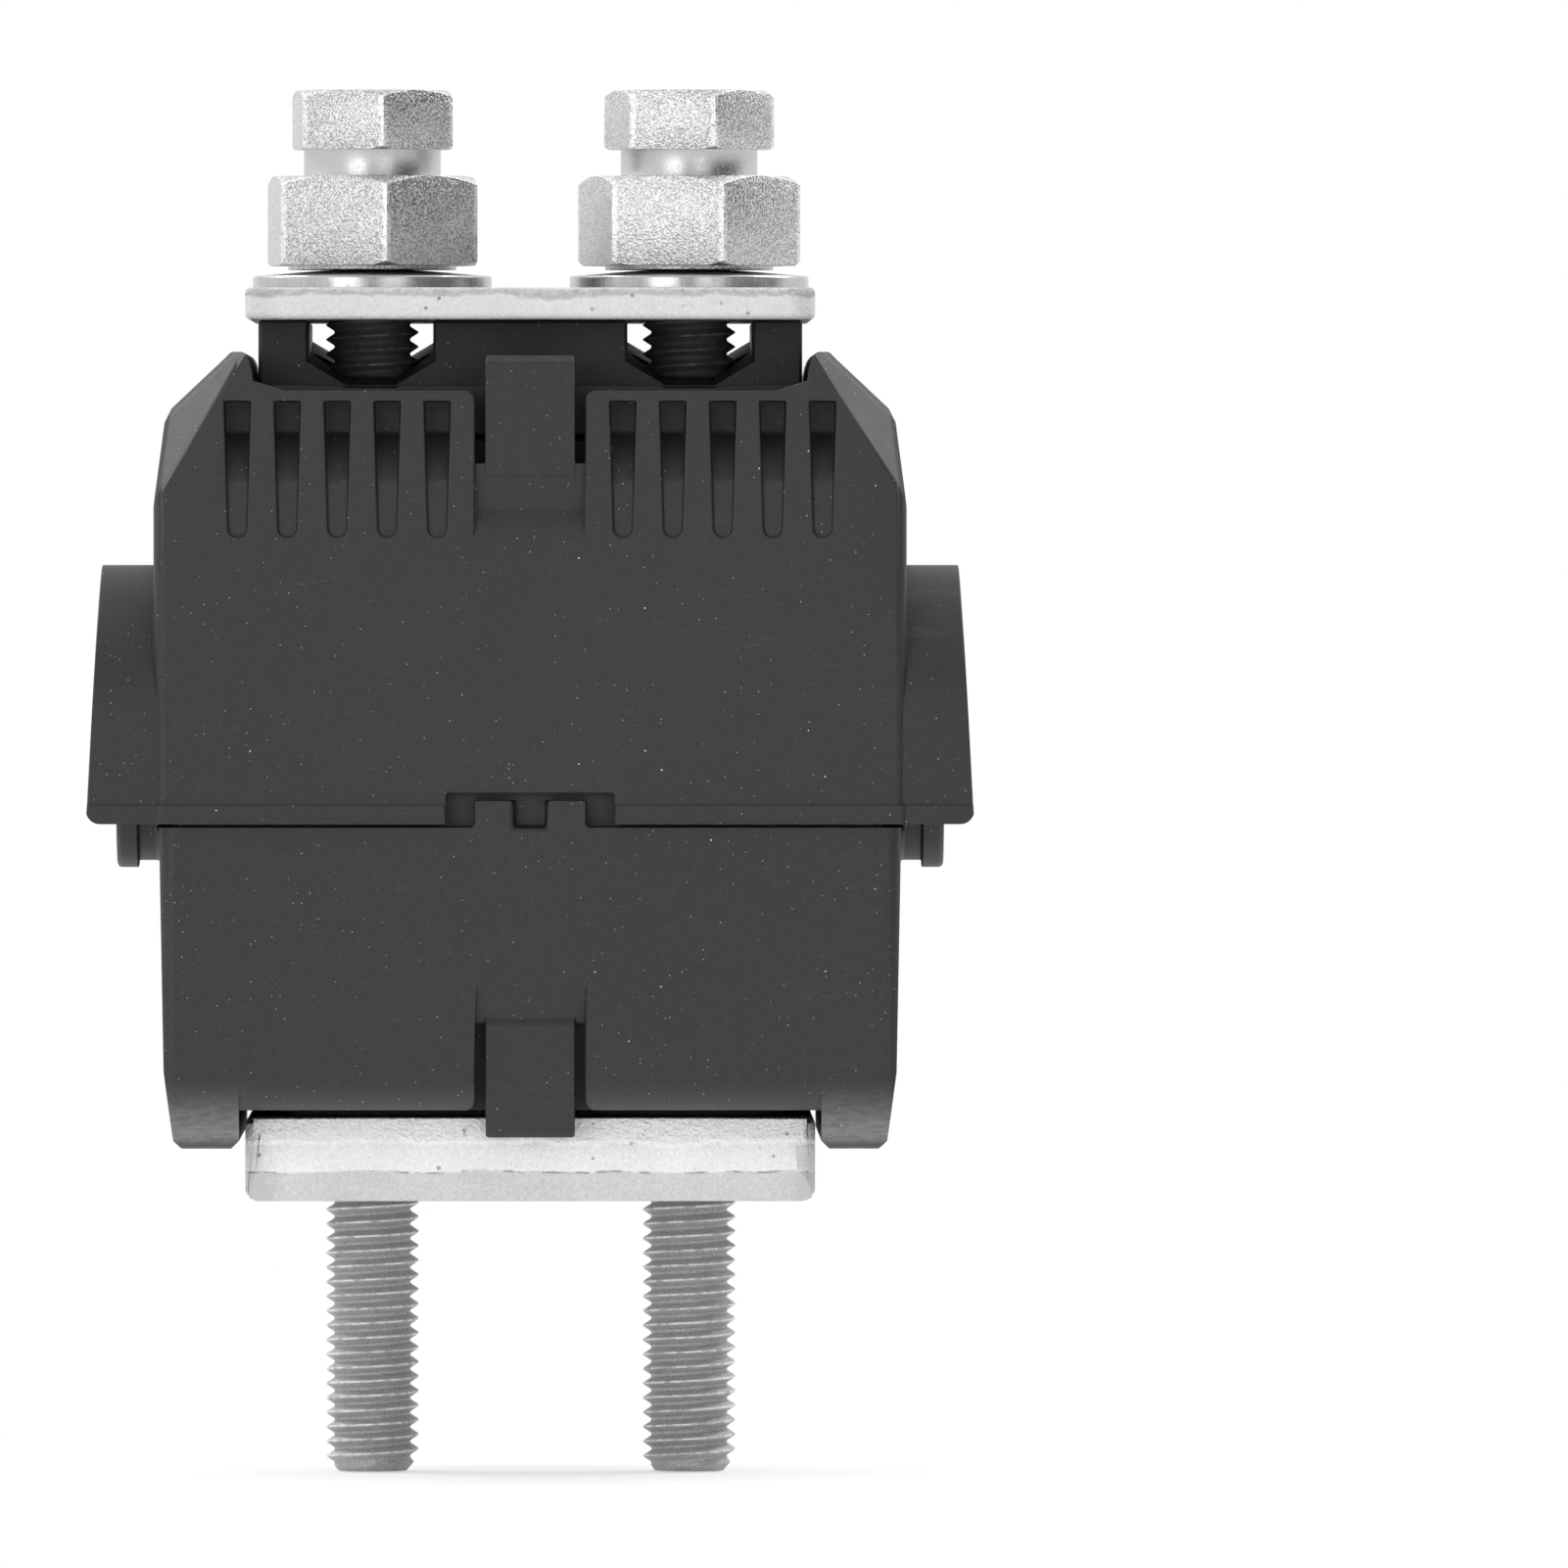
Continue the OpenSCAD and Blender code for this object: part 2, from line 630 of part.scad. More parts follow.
module plate_spacer() color(nylon) {
    y0 = front_y + recess_wall + 2 * seat_gap;
    y1 = rear_y - recess_wall - 2 * seat_gap;
    side_z = spacer_top - window_side_h;
    window_depth = y1 - y0 - 2 * block_set_back;
    difference() {
        union() {
            translate([-spacer_half, y0, floor_z]) cube([2 * spacer_half, y1 - y0, flange_h]);
            translate([-spacer_half, y0 + block_set_back, floor_z])
                cube([2 * spacer_half, window_depth, spacer_h]);
        }
        at_bolts() {
            translate([0, 0, floor_z - over]) cylinder(d = bolt_bore, h = spacer_h + 2 * over);
            translate([0, 0, side_z]) rotate([window_rise, 0, 0])
                along_y(-window_depth, window_depth) polygon([
                    [-window_w / 2, spacer_h], [-window_w / 2, 0],
                    [-window_floor_w / 2, -window_foot_h], [window_floor_w / 2, -window_foot_h],
                    [window_w / 2, 0], [window_w / 2, spacer_h]
                ]);
        }
    }
}

// Hexagon with its corners chamfered at both ends, less at the foot than at the top.
module hexagon(af, h) {
    corner = af / sqrt(3);
    foot_r = (corner + af / 2) / 2;
    rise = tan(hex_chamfer);
    intersection() {
        cylinder(r = corner, h = h, $fn = 6);
        rotate_extrude() polygon([
            [0, 0], [foot_r, 0], [corner, (corner - foot_r) * rise],
            [corner, h - (corner - af / 2) * rise], [af / 2, h], [0, h]
        ]);
    }
}

// Bolt with a drive hexagon, a shear neck and a shear hexagon above it, all in one piece.
module shear_bolt(side, turn) color(zinc) translate([side * bolt_spacing / 2, bolt_y, 0]) {
    tip = head_z - bolt_len;
    rotate_extrude() polygon([
        [0, tip], [bolt_d / 2 - tip_chamfer, tip], [bolt_d / 2, tip + tip_chamfer], [bolt_d / 2, head_z],
        [face_d / 2, head_z], [face_d / 2, drive_z + over], [neck_d / 2, drive_z + over],
        [neck_d / 2, shear_z + over], [0, shear_z + over]
    ]);
    rotate([0, 0, turn - 30]) {
        translate([0, 0, drive_z]) hexagon(drive_af, drive_h);
        translate([0, 0, shear_z]) hexagon(shear_af, shear_h);
    }
}

// Conical spring washer that rests on its outer edge.
module washer(side) color(zinc) translate([side * bolt_spacing / 2, bolt_y, upper_plate_top]) {
    inner = bolt_d / 2 + washer_gap;
    outer = washer_d / 2;
    rotate_extrude() polygon([
        [outer, 0], [outer, washer_t], [inner, washer_t + washer_cone], [inner, washer_cone]
    ]);
}

// Half-round rubber seal above the cable plane, slit for the two blades.
module seal(line) color(rubber) difference() {
    y = line[0];
    r = line[1];
    slit_half = (r + seal_wall) * sin(tooth_half_angle) + seat_gap;
    slit_w = blade_t + 2 * seat_gap;
    intersection() {
        along_x(seal_len) translate([y, 0]) circle(r + seal_wall);
        translate([-seal_len, y - 2 * r, jaw_gap]) cube([2 * seal_len, 4 * r, 2 * r]);
    }
    along_x(seal_len + over) translate([y, 0]) circle(r);
    for (x = [-blade_x, blade_x]) {
        translate([x - slit_w / 2, y - slit_half, jaw_gap]) cube([slit_w, 2 * slit_half, 2 * r]);
    }
}

// Points of a toothed arc over one cable, from its front side to its rear side.
function toothed_arc(line) = [
    for (i = [0 : 2 * tooth_count])
        let (a = 90 + tooth_half_angle * (1 - i / tooth_count))
        let (r = line[1] + (i % 2 == 0 ? seal_wall : tip_set_back))
        [line[0] + r * cos(a), r * sin(a)]
];

// Piercing blade that bridges the main and the branch cable, with its teeth pointing down.
module blade(side) color(tin) translate([side * blade_x, 0, 0]) {
    main_arc = toothed_arc(lines[0]);
    branch_arc = toothed_arc(lines[1]);
    last = len(branch_arc) - 1;
    along_x(blade_t) polygon(concat(
        main_arc, branch_arc, [[branch_arc[last][0], blade_back], [main_arc[0][0], blade_back]]
    ));
}

module shear_bolt_left() shear_bolt(-1, left_turn);
module shear_bolt_right() shear_bolt(1, right_turn);
module washer_left() washer(-1);
module washer_right() washer(1);
module upper_main_seal() seal(lines[0]);
module upper_branch_seal() seal(lines[1]);
module lower_main_seal() mirror([0, 0, 1]) seal(lines[0]);
module lower_branch_seal() mirror([0, 0, 1]) seal(lines[1]);
module upper_blade_left() blade(-1);
module upper_blade_right() blade(1);
module lower_blade_left() mirror([0, 0, 1]) blade(-1);
module lower_blade_right() mirror([0, 0, 1]) blade(1);

upper_housing();
lower_housing();
upper_plate();
lower_plate();
plate_spacer();
shear_bolt_left();
shear_bolt_right();
washer_left();
washer_right();
upper_main_seal();
upper_branch_seal();
lower_main_seal();
lower_branch_seal();
upper_blade_left();
upper_blade_right();
lower_blade_left();
lower_blade_right();
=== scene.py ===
"""Two-bolt insulation piercing connector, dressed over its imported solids."""
import math

import bmesh
import bpy
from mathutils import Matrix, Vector


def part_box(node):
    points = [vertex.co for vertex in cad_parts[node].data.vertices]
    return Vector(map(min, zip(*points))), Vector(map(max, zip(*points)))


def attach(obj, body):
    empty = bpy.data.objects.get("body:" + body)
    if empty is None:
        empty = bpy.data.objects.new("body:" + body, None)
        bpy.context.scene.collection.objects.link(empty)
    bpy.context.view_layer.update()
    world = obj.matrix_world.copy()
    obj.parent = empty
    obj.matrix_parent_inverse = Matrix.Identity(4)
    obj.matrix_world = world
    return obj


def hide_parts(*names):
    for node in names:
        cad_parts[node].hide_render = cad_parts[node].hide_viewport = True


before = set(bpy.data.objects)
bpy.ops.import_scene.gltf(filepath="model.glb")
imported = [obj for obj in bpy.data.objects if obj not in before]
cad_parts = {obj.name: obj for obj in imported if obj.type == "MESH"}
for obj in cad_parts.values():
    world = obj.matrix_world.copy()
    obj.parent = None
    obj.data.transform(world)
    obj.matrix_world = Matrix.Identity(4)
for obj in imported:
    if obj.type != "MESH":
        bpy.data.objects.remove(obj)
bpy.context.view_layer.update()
MM = 0.001


# Lower housing: the half that carries the plug, the feet and the lower plate.
# Black glass-filled nylon, injection moulded in one piece, with a fine matt
# surface that has picked up dust and a few rubbed places. Its lower front and back
# edges and its feet are paler with a painted reflection of the floor.
class Wire:
    """One node's output in a material; sums on it add Math nodes."""

    def __init__(self, tree, socket=None):
        self.tree = tree
        self.socket = socket

    def feed(self, socket, value):
        if isinstance(value, Wire):
            self.tree.links.new(value.socket, socket)
        else:
            socket.default_value = value

    def node(self, kind, settings=None, inputs=None, output=0):
        made = self.tree.nodes.new(kind)
        for name, value in (settings or {}).items():
            setattr(made, name, value)
        for name, value in (inputs or {}).items():
            self.feed(made.inputs[name], value)
        return Wire(self.tree, made.outputs[output])

    def maths(self, operation, first, second):
        return self.node("ShaderNodeMath", {"operation": operation}, {0: first, 1: second})

    def __add__(self, other):
        return self.maths("ADD", self, other)

    def __sub__(self, other):
        return self.maths("SUBTRACT", self, other)

    def __rsub__(self, other):
        return self.maths("SUBTRACT", other, self)

    def __mul__(self, other):
        return self.maths("MULTIPLY", self, other)

    def __abs__(self):
        return self.maths("ABSOLUTE", self, 0.0)

    __radd__ = __add__
    __rmul__ = __mul__

    def rise(self, low, high):
        """0 below low, 1 above high, smooth between them."""
        return self.node(
            "ShaderNodeMapRange",
            {"interpolation_type": "SMOOTHSTEP"},
            {"Value": self, "From Min": low, "From Max": high},
        )

    def blend(self, low_colour, high_colour):
        """A colour that goes from low_colour at 0 to high_colour at 1."""
        return self.node(
            "ShaderNodeMix", {"data_type": "RGBA"}, {0: self, 6: low_colour, 7: high_colour}, 2
        )

    def noise(self, where, scale, detail=2.0, rough=0.5):
        return self.node(
            "ShaderNodeTexNoise",
            {},
            {"Vector": where, "Scale": scale, "Detail": detail, "Roughness": rough},
        )

    def stretched(self, where, along):
        """The same place with its axes scaled, so that a pattern is stretched out."""
        return self.node("ShaderNodeMapping", {}, {"Vector": where, "Scale": along})

    def part(self, where, axis):
        """How far a place lies along X, Y or Z."""
        return self.node("ShaderNodeSeparateXYZ", {}, {"Vector": where}, axis)


def new_material(name):
    """A material, its wires, the object's own coordinates, and its surface shader."""
    material = bpy.data.materials.new(name)
    material.use_nodes = True
    tree = material.node_tree
    wires = Wire(tree)
    where = wires.node("ShaderNodeTexCoord", {}, {}, "Object")
    return material, wires, where, tree.nodes["Principled BSDF"]


def grey(level, warm=0.0):
    """A grey that leans a little to warm, or to cold below 0."""
    return (level * (1 + warm), level, level * (1 - warm), 1.0)


def dust(wires, where, cell, size, share):
    """Specks of one radius and uneven strength, in a share of the cells that space them."""
    settings = {"voronoi_dimensions": "3D", "feature": "F1"}
    inputs = {"Vector": where, "Scale": 1 / cell, "Randomness": 1.0}
    near = wires.node("ShaderNodeTexVoronoi", settings, inputs, "Distance")
    pick = wires.node("ShaderNodeTexVoronoi", settings, inputs, "Color")
    pick = wires.node("ShaderNodeSeparateColor", {}, {"Color": pick}, "Red")
    inside = 1 - near.rise(0.5 * size / cell, size / cell)
    return inside * pick.rise(1 - share, 1.0)


def emboss(wires, shader, strength, depth, height):
    """Gives a surface its fine relief."""
    inputs = {"Strength": strength, "Distance": depth, "Height": height}
    wires.feed(shader.inputs["Normal"], wires.node("ShaderNodeBump", {}, inputs))


BODY_MIDDLE = 18.25 * MM
OUTER_FACE = (28.6 * MM, 30.4 * MM)
FOOT_HEIGHT = (-36.5 * MM, -30.5 * MM)
FOOT_SIDE = (23.5 * MM, 25 * MM)
TAB_SIDE = (4.4 * MM, 5 * MM)


def moulded_nylon(name, tone):
    """Matt black nylon, mottled, rubbed and dusty, with a spark-eroded grain and drag streaks on
    the feet; the lower front and back edges and the feet are paler with a painted reflection of the
    floor.
    """
    material, wires, where, shader = new_material(name)
    aside = abs(wires.part(where, "X"))
    outer = abs(wires.part(where, "Y") - BODY_MIDDLE).rise(*OUTER_FACE)
    height = wires.part(where, "Z")
    mottle = wires.noise(where, 260, 4, 0.6)
    cloud = wires.noise(where, 45, 2)
    pepper = wires.noise(where, 4200, 2, 0.6)
    streak = wires.noise(wires.stretched(where, (0.4, 1.0, 1.4)), 1700, 4, 0.7)
    # low: the front and back faces near the bottom, beside the tab, where a painted reflection of
    # the white floor makes the nylon paler.
    low = (1 - height.rise(*FOOT_HEIGHT)) * aside.rise(*TAB_SIDE) * outer
    feet_reflection_and_drag = low * aside.rise(*FOOT_SIDE)
    rubbed = wires.noise(wires.stretched(where, (0.35, 1.0, 1.6)), 330, 5, 0.7)
    rubbed = rubbed.rise(0.6, 0.74) * cloud.rise(0.45, 0.62)
    fine_dust = dust(wires, where, 0.36 * MM, 0.045 * MM, 0.2)
    specks = fine_dust + dust(wires, where, 1.4 * MM, 0.08 * MM, 0.3)
    level = tone * (0.45 * mottle + 0.25 * cloud + 1.3 * pepper)
    # Painted reflection of the floor: paler low on the front and back, palest on the feet, where
    # drag streaks run through it.
    level = level + 0.06 * low + feet_reflection_and_drag * (0.05 + 0.1 * streak.rise(0.3, 0.75))
    body = wires.node("ShaderNodeCombineColor", {}, {"Red": level, "Green": level, "Blue": level})
    body = (0.12 * rubbed).blend(body, grey(0.13))
    wires.feed(shader.inputs["Base Color"], specks.blend(body, grey(0.75, 0.02)))
    wires.feed(shader.inputs["Roughness"], 0.43 + 0.16 * mottle - 0.06 * rubbed)
    grain = wires.noise(where, 5200, 3, 0.6) + 1.4 * wires.noise(where, 900, 2)
    emboss(wires, shader, 0.35, 0.03 * MM, grain + 2 * feet_reflection_and_drag * streak)
    return material


NEAR = 1e-6
STRAIGHT_ON = math.radians(140)
SHARED_ROOM = 0.45
WHOLE_ROOM = 0.8
SAME_WAY = 0.9


def across(edge, face):
    """The middle of an edge, and the direction from it across one of its faces."""
    inward = face.normal.cross(edge.verts[1].co - edge.verts[0].co).normalized()
    loop = next(loop for loop in edge.link_loops if loop.face == face)
    if loop.vert != edge.verts[0]:
        inward.negate()
    return (edge.verts[0].co + edge.verts[1].co) / 2, inward


def easing_room(corners):
    """How far each corner can be eased before it meets another one, or runs past an edge's end."""
    room = {edge: 1.0 for edge in corners}
    same_line = {edge: edge for edge in corners}

    def line_of(edge):
        while same_line[edge] is not edge:
            edge = same_line[edge]
        return edge

    on_face = {}
    for edge in corners:
        for face in edge.link_faces:
            on_face.setdefault(face, []).append((edge, *across(edge, face)))
        for loop in edge.link_loops:
            for vert, other in ((loop.vert, loop.link_loop_prev.edge),
                                (loop.link_loop_next.vert, loop.link_loop_next.edge)):
                here = edge.other_vert(vert).co - vert.co
                there = other.other_vert(vert).co - vert.co
                if here.angle(there) < STRAIGHT_ON:
                    share = SHARED_ROOM if other in room else WHOLE_ROOM
                    space = share * there.length * math.sin(here.angle(there))
                    room[edge] = min(room[edge], space)
        for vert in edge.verts:
            for other in vert.link_edges:
                if other in room and other is not edge:
                    here = edge.other_vert(vert).co - vert.co
                    there = other.other_vert(vert).co - vert.co
                    if here.angle(there) > STRAIGHT_ON:
                        same_line[line_of(edge)] = line_of(other)
    for rims in on_face.values():
        for edge, middle, inward in rims:
            half = edge.calc_length() / 2
            for other, place, facing in rims:
                for point in (place, other.verts[0].co, other.verts[1].co):
                    gap = (point - middle).dot(inward)
                    aside = (point - middle - gap * inward).length
                    if gap > NEAR and aside <= half and inward.dot(facing) < SAME_WAY:
                        room[edge] = min(room[edge], SHARED_ROOM * gap)
                        room[other] = min(room[other], SHARED_ROOM * gap)
    least = {}
    for edge in corners:
        line = line_of(edge)
        least[line] = min(least.get(line, 1.0), room[edge])
    return {edge: least[line_of(edge)] for edge in corners}


def everything(form):
    return form.verts[:] + form.edges[:] + form.faces[:]


def merged_copy(node):
    """A solid's mesh with its loose triangles joined."""
    form = bmesh.new()
    form.from_mesh(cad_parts[node].data)
    bmesh.ops.remove_doubles(form, verts=form.verts, dist=NEAR)
    return form


def make_faces_whole(form):
    """Takes out the lines across flat faces, except seams."""
    bmesh.ops.dissolve_limit(
        form, angle_limit=math.radians(0.6), verts=form.verts, edges=form.edges, delimit={"SEAM"}
    )


def piece_of(form, name, sharpest):
    """A piece from its finished form, shaded round except at lines that turn more than sharpest."""
    for face in form.faces:
        face.smooth = True
    mesh = bpy.data.meshes.new(name)
    form.to_mesh(mesh)
    form.free()
    if "custom_normal" in mesh.attributes:
        mesh.attributes.remove(mesh.attributes["custom_normal"])
    mesh.materials.clear()
    mesh.set_sharp_from_angle(angle=sharpest)
    piece = bpy.data.objects.new(name, mesh)
    bpy.context.scene.collection.objects.link(piece)
    return piece


SHARPEST = math.radians(30)
BLUNT = math.radians(62)


def eased_copy(node, name, edge, cuts, steps=3, reshape=None, wide=0.0):
    """A copy of a solid, its corners eased as far as they have room, the blunt ones up to wide.
    Faces with openings are parted at the cuts along X. Lines that reshape gives stay soft."""
    form = merged_copy(node)
    for place in cuts:
        parted = bmesh.ops.bisect_plane(
            form, geom=everything(form), dist=NEAR, plane_co=(place, 0, 0), plane_no=(1, 0, 0)
        )
        for item in parted["geom_cut"]:
            if isinstance(item, bmesh.types.BMEdge):
                item.seam = True
    make_faces_whole(form)
    weight = form.edges.layers.float.new("bevel_weight_edge")
    form.normal_update()
    soft = set(reshape(form)) if reshape else set()
    form.normal_update()
    form.edges.index_update()
    corners = [
        line for line in form.edges if line.calc_face_angle(0) > SHARPEST and line not in soft
    ]
    most = max(edge, wide)
    for line, room in easing_room(corners).items():
        wanted = most if line.calc_face_angle(0) < BLUNT else edge
        line[weight] = min(wanted, room) / most
    soft = [line.index for line in soft]
    piece = piece_of(form, name, SHARPEST)
    for index in soft:
        piece.data.edges[index].use_edge_sharp = False
    ease = piece.modifiers.new("eased edges", "BEVEL")
    ease.width = most
    ease.segments = steps
    ease.limit_method = "WEIGHT"
    ease.use_clamp_overlap = False
    level = piece.modifiers.new("level faces", "WEIGHTED_NORMAL")
    level.mode = "FACE_AREA"
    level.keep_sharp = True
    return piece


def dress(piece, material, body, slot, *nodes):
    """Gives a piece its finish, its body and the solids that it stands for."""
    piece.data.materials.append(material)
    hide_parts(*nodes)
    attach(piece, body)


HOUSING_EDGE = 0.4 * MM
SHOULDER_EDGE = 1.1 * MM
BOLT_X = 13.65 * MM
BLADE_X = 4.5 * MM
both_bolts = (-BOLT_X, BOLT_X)
both_blades = (-BLADE_X, BLADE_X)
bolts_and_blades = both_bolts + both_blades
black_nylon = moulded_nylon("black_nylon", 0.0162)
dress(
    eased_copy("lower_housing", "lower_shell", HOUSING_EDGE, bolts_and_blades, wide=SHOULDER_EDGE),
    black_nylon, "lower_jaw", "housing", "lower_housing",
)


# Rubber seals: four half round liners, two for each cable, pressed into the
# housings. Soft black rubber, dull, with a faint moulded grain.
def seal_rubber(name):
    material, wires, where, shader = new_material(name)
    bloom = wires.noise(where, 420, 4, 0.6)
    rubber = bloom.rise(0.35, 0.75).blend(grey(0.018), grey(0.034))
    wires.feed(shader.inputs["Base Color"], rubber)
    wires.feed(shader.inputs["Roughness"], 0.68 + 0.2 * bloom)
    emboss(wires, shader, 0.3, 0.04 * MM, wires.noise(where, 3800, 2))
    return material


SEAL_EDGE = 0.35 * MM
jaws = (("lower", "lower_jaw"), ("upper", "upper_jaw"))
soft_rubber = seal_rubber("soft_rubber")
for half, jaw in jaws:
    for cable in ("main", "branch"):
        node = f"{half}_{cable}_seal"
        dress(
            eased_copy(node, f"{half}_{cable}_liner", SEAL_EDGE, both_blades),
            soft_rubber, jaw, "seals", node,
        )


# Piercing blades: four toothed strips that join the two cables. Stamped copper,
# tinned, with the rolling lines of the sheet still showing.
def tinned_copper(name):
    material, wires, where, shader = new_material(name)
    rolled = wires.noise(wires.stretched(where, (1.0, 0.12, 1.0)), 2600, 3, 0.6)
    patch = wires.noise(where, 380, 3)
    tin = patch.rise(0.35, 0.7).blend((0.62, 0.58, 0.53, 1.0), (0.74, 0.72, 0.69, 1.0))
    wires.feed(shader.inputs["Base Color"], tin)
    shader.inputs["Metallic"].default_value = 1.0
    wires.feed(shader.inputs["Roughness"], 0.26 + 0.22 * rolled)
    emboss(wires, shader, 0.25, 0.02 * MM, rolled)
    return material


BLADE_EDGE = 0.06 * MM
blade_tin = tinned_copper("tinned_blade")
for half, jaw in jaws:
    for side in ("left", "right"):
        node = f"{half}_blade_{side}"
        dress(
            eased_copy(node, f"{half}_teeth_{side}", BLADE_EDGE, (), steps=1),
            blade_tin, jaw, "blades", node,
        )


# Lower plate: the tapped plate that the two bolts draw up. Sheared from thick steel
# bar and galvanised: its edge is torn above, bright in the middle, smooth below.
# Its torn band carries painted light, a lighter tone where the housing shades it.
PLATE_ENDS = (21 * MM, 24.5 * MM)
TEAR_BLUR = 0.25 * MM
CRACK_WIDTH = 0.12 * MM


def sheared_zinc(name, torn_from, smooth_to, torn_tone_with_painted_light, bright):
    """Zinc over a sheared edge, torn above one height and smooth below another, with painted shade
    darkening it towards the plate's ends. Lifting the torn band's tone paints light on it.
    """
    material, wires, where, shader = new_material(name)
    aside = abs(wires.part(where, "X"))
    height = wires.part(where, "Z")
    wander = wires.noise(where, 190, 4, 0.6) - 0.5
    # Painted shade: darker towards each end of the plate.
    ends = (aside + 5 * MM * wander).rise(*PLATE_ENDS)
    torn = (height + 1.6 * MM * wander).rise(torn_from - TEAR_BLUR, torn_from + TEAR_BLUR)
    lifted = height + 0.9 * MM * wander
    smooth = 1 - lifted.rise(smooth_to - CRACK_WIDTH, smooth_to + CRACK_WIDTH)
    crack = lifted.rise(smooth_to - 0.1 * MM, smooth_to)
    crack = crack * (1 - lifted.rise(smooth_to, smooth_to + CRACK_WIDTH))
    crack = crack * wires.noise(where, 700, 4, 0.7).rise(0.4, 0.7)
    lumps = wires.noise(where, 1500, 3, 0.6)
    grains = wires.noise(where, 3600, 3, 0.7)
    pits = dust(wires, where, 1.1 * MM, 0.2 * MM, 0.35) * (1 - smooth)
    scratch = wires.noise(wires.stretched(where, (1.0, 1.0, 0.12)), 3000, 3, 0.6)
    # The torn band is a rough zone with its own tone; where that tone is lifted, the lift is
    # painted light.
    level = 0.66 + 0.8 * (grains - 0.5) + torn * (1.2 * (lumps - 0.5) + torn_tone_with_painted_light)
    level = level - 0.5 * smooth - 0.4 * ends
    level = level + smooth * 0.2 * (scratch - 0.5) + 0.3 * wander
    zinc = level.blend(grey(0.5 * bright, 0.002), grey(bright, 0.004))
    dark = 0.45 * crack + 0.65 * pits
    wires.feed(shader.inputs["Base Color"], dark.blend(zinc, grey(0.16)))
    wires.feed(shader.inputs["Metallic"], 0.35 - 0.3 * torn)
    wires.feed(shader.inputs["Roughness"], 0.55 - 0.15 * smooth + 0.1 * grains)
    relief = torn * (1.6 * lumps + grains) + (1 - smooth) * 0.5 * grains
    relief = relief + 0.25 * scratch - 1.2 * crack - pits
    emboss(wires, shader, 1.0, 0.2 * MM, relief)
    return material


BAR_EDGE = 0.55 * MM
BAR_CORNER = 2 * MM
BAR_TORN_FROM = -36.2 * MM
BAR_SMOOTH_TO = -38.7 * MM
TEAR_HEIGHT = 1.9 * MM
TEAR_DEPTH = 1.3 * MM
TEAR_LEFT = 0.45
ON_TEAR = 0.01


def stand_tear_up(form):
    """Brings the torn slope nearer to upright, and keeps it on the plate's round corners."""
    low, high = (Vector(corner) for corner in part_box("lower_plate"))
    straight = high.x - BAR_CORNER
    for vert in form.verts:
        for rim, way in ((low.y, 1), (high.y, -1)):
            depth = (vert.co.y - rim) * way
            up_slope = (vert.co.z - (high.z - TEAR_HEIGHT)) / TEAR_HEIGHT
            off_slope = abs(up_slope - depth / TEAR_DEPTH)
            if NEAR < depth < TEAR_DEPTH + NEAR and off_slope < ON_TEAR:
                depth *= TEAR_LEFT
                vert.co.y = rim + way * depth
                if abs(vert.co.x) > straight:
                    out = math.sqrt(BAR_CORNER ** 2 - (BAR_CORNER - depth) ** 2)
                    vert.co.x = math.copysign(straight + out, vert.co.x)
    return ()


dress(
    eased_copy("lower_plate", "tapped_plate", BAR_EDGE, both_bolts, steps=4, reshape=stand_tear_up),
    # A lift of 0.4 on the torn band: painted light where the housing shades it.
    sheared_zinc("bar_zinc", BAR_TORN_FROM, BAR_SMOOTH_TO, 0.4, 0.97),
    "lower_jaw", "plates", "lower_plate",
)


# Upper housing: the half with the skirt, the collars round the cables, the
# stiffening slots and the snap tabs. Moulded in the same black nylon. The depths
# of the slots' floors are measured from the rim that stands proud of the front.
SLOT_FIRST = 7.9 * MM
SLOT_PITCH = 4.25 * MM
slots = [SLOT_FIRST + SLOT_PITCH * count for count in range(5)]
slots += [-place for place in slots]
SLOT_FOOT = 15.4 * MM
SLOT_STEP = 20.2 * MM
SLOT_BEND = 21.5 * MM
SLOT_DROP = 24.4 * MM
SLOT_FLARE = 0.0575
FOOT_DEPTH = 0.6 * MM
STEP_DEPTH = 0.8 * MM
FLOOR_FACING = 0.88
FLOOR_TILT = (0.37, 0.44)
ON_CUT = 0.1 * MM


def with_rims(faces):
    """Faces with their edges and corners, each once and in a steady order."""
    lines = dict.fromkeys(line for face in faces for line in face.edges)
    verts = dict.fromkeys(vert for face in faces for vert in face.verts)
    return [*faces, *lines, *verts]


def step_slot_floors(form):
    """Breaks each slot's sloping floor, to run level near the face and fall away higher up."""
    low, high = (Vector(corner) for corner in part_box("upper_housing"))
    floors = [
        face for face in form.faces
        if abs(face.normal.y) > FLOOR_FACING
        and FLOOR_TILT[0] < face.normal.z < FLOOR_TILT[1]
        and SLOT_FOOT < face.calc_center_median().z < SLOT_BEND
    ]
    cut = bmesh.ops.bisect_plane(
        form, geom=with_rims(floors), dist=NEAR, plane_co=(0, 0, SLOT_STEP), plane_no=(0, 0, 1)
    )
    flare = SLOT_FLARE / 2 * (SLOT_DROP - SLOT_BEND)
    for vert in {item for item in cut["geom"] if isinstance(item, bmesh.types.BMVert)}:
        if vert.co.z < SLOT_STEP + NEAR:
            share = (vert.co.z - SLOT_FOOT) / (SLOT_STEP - SLOT_FOOT)
            depth = FOOT_DEPTH + share * (STEP_DEPTH - FOOT_DEPTH)
            vert.co.y = low.y + depth if vert.co.y < BODY_MIDDLE else high.y - depth
        else:
            middle = min(slots, key=lambda place: abs(place - vert.co.x))
            if abs(vert.co.x - middle) > ON_CUT:
                vert.co.x += math.copysign(flare, vert.co.x - middle)
            vert.co.z = SLOT_DROP


SHOULDER_ROUND = 0.8 * MM
SHOULDER_LEAN = 0.2
SHOULDER_AREA = 15 * MM ** 2
SHOULDER_SIDE = 3 * MM
SHOULDER_TURN = math.radians(20)


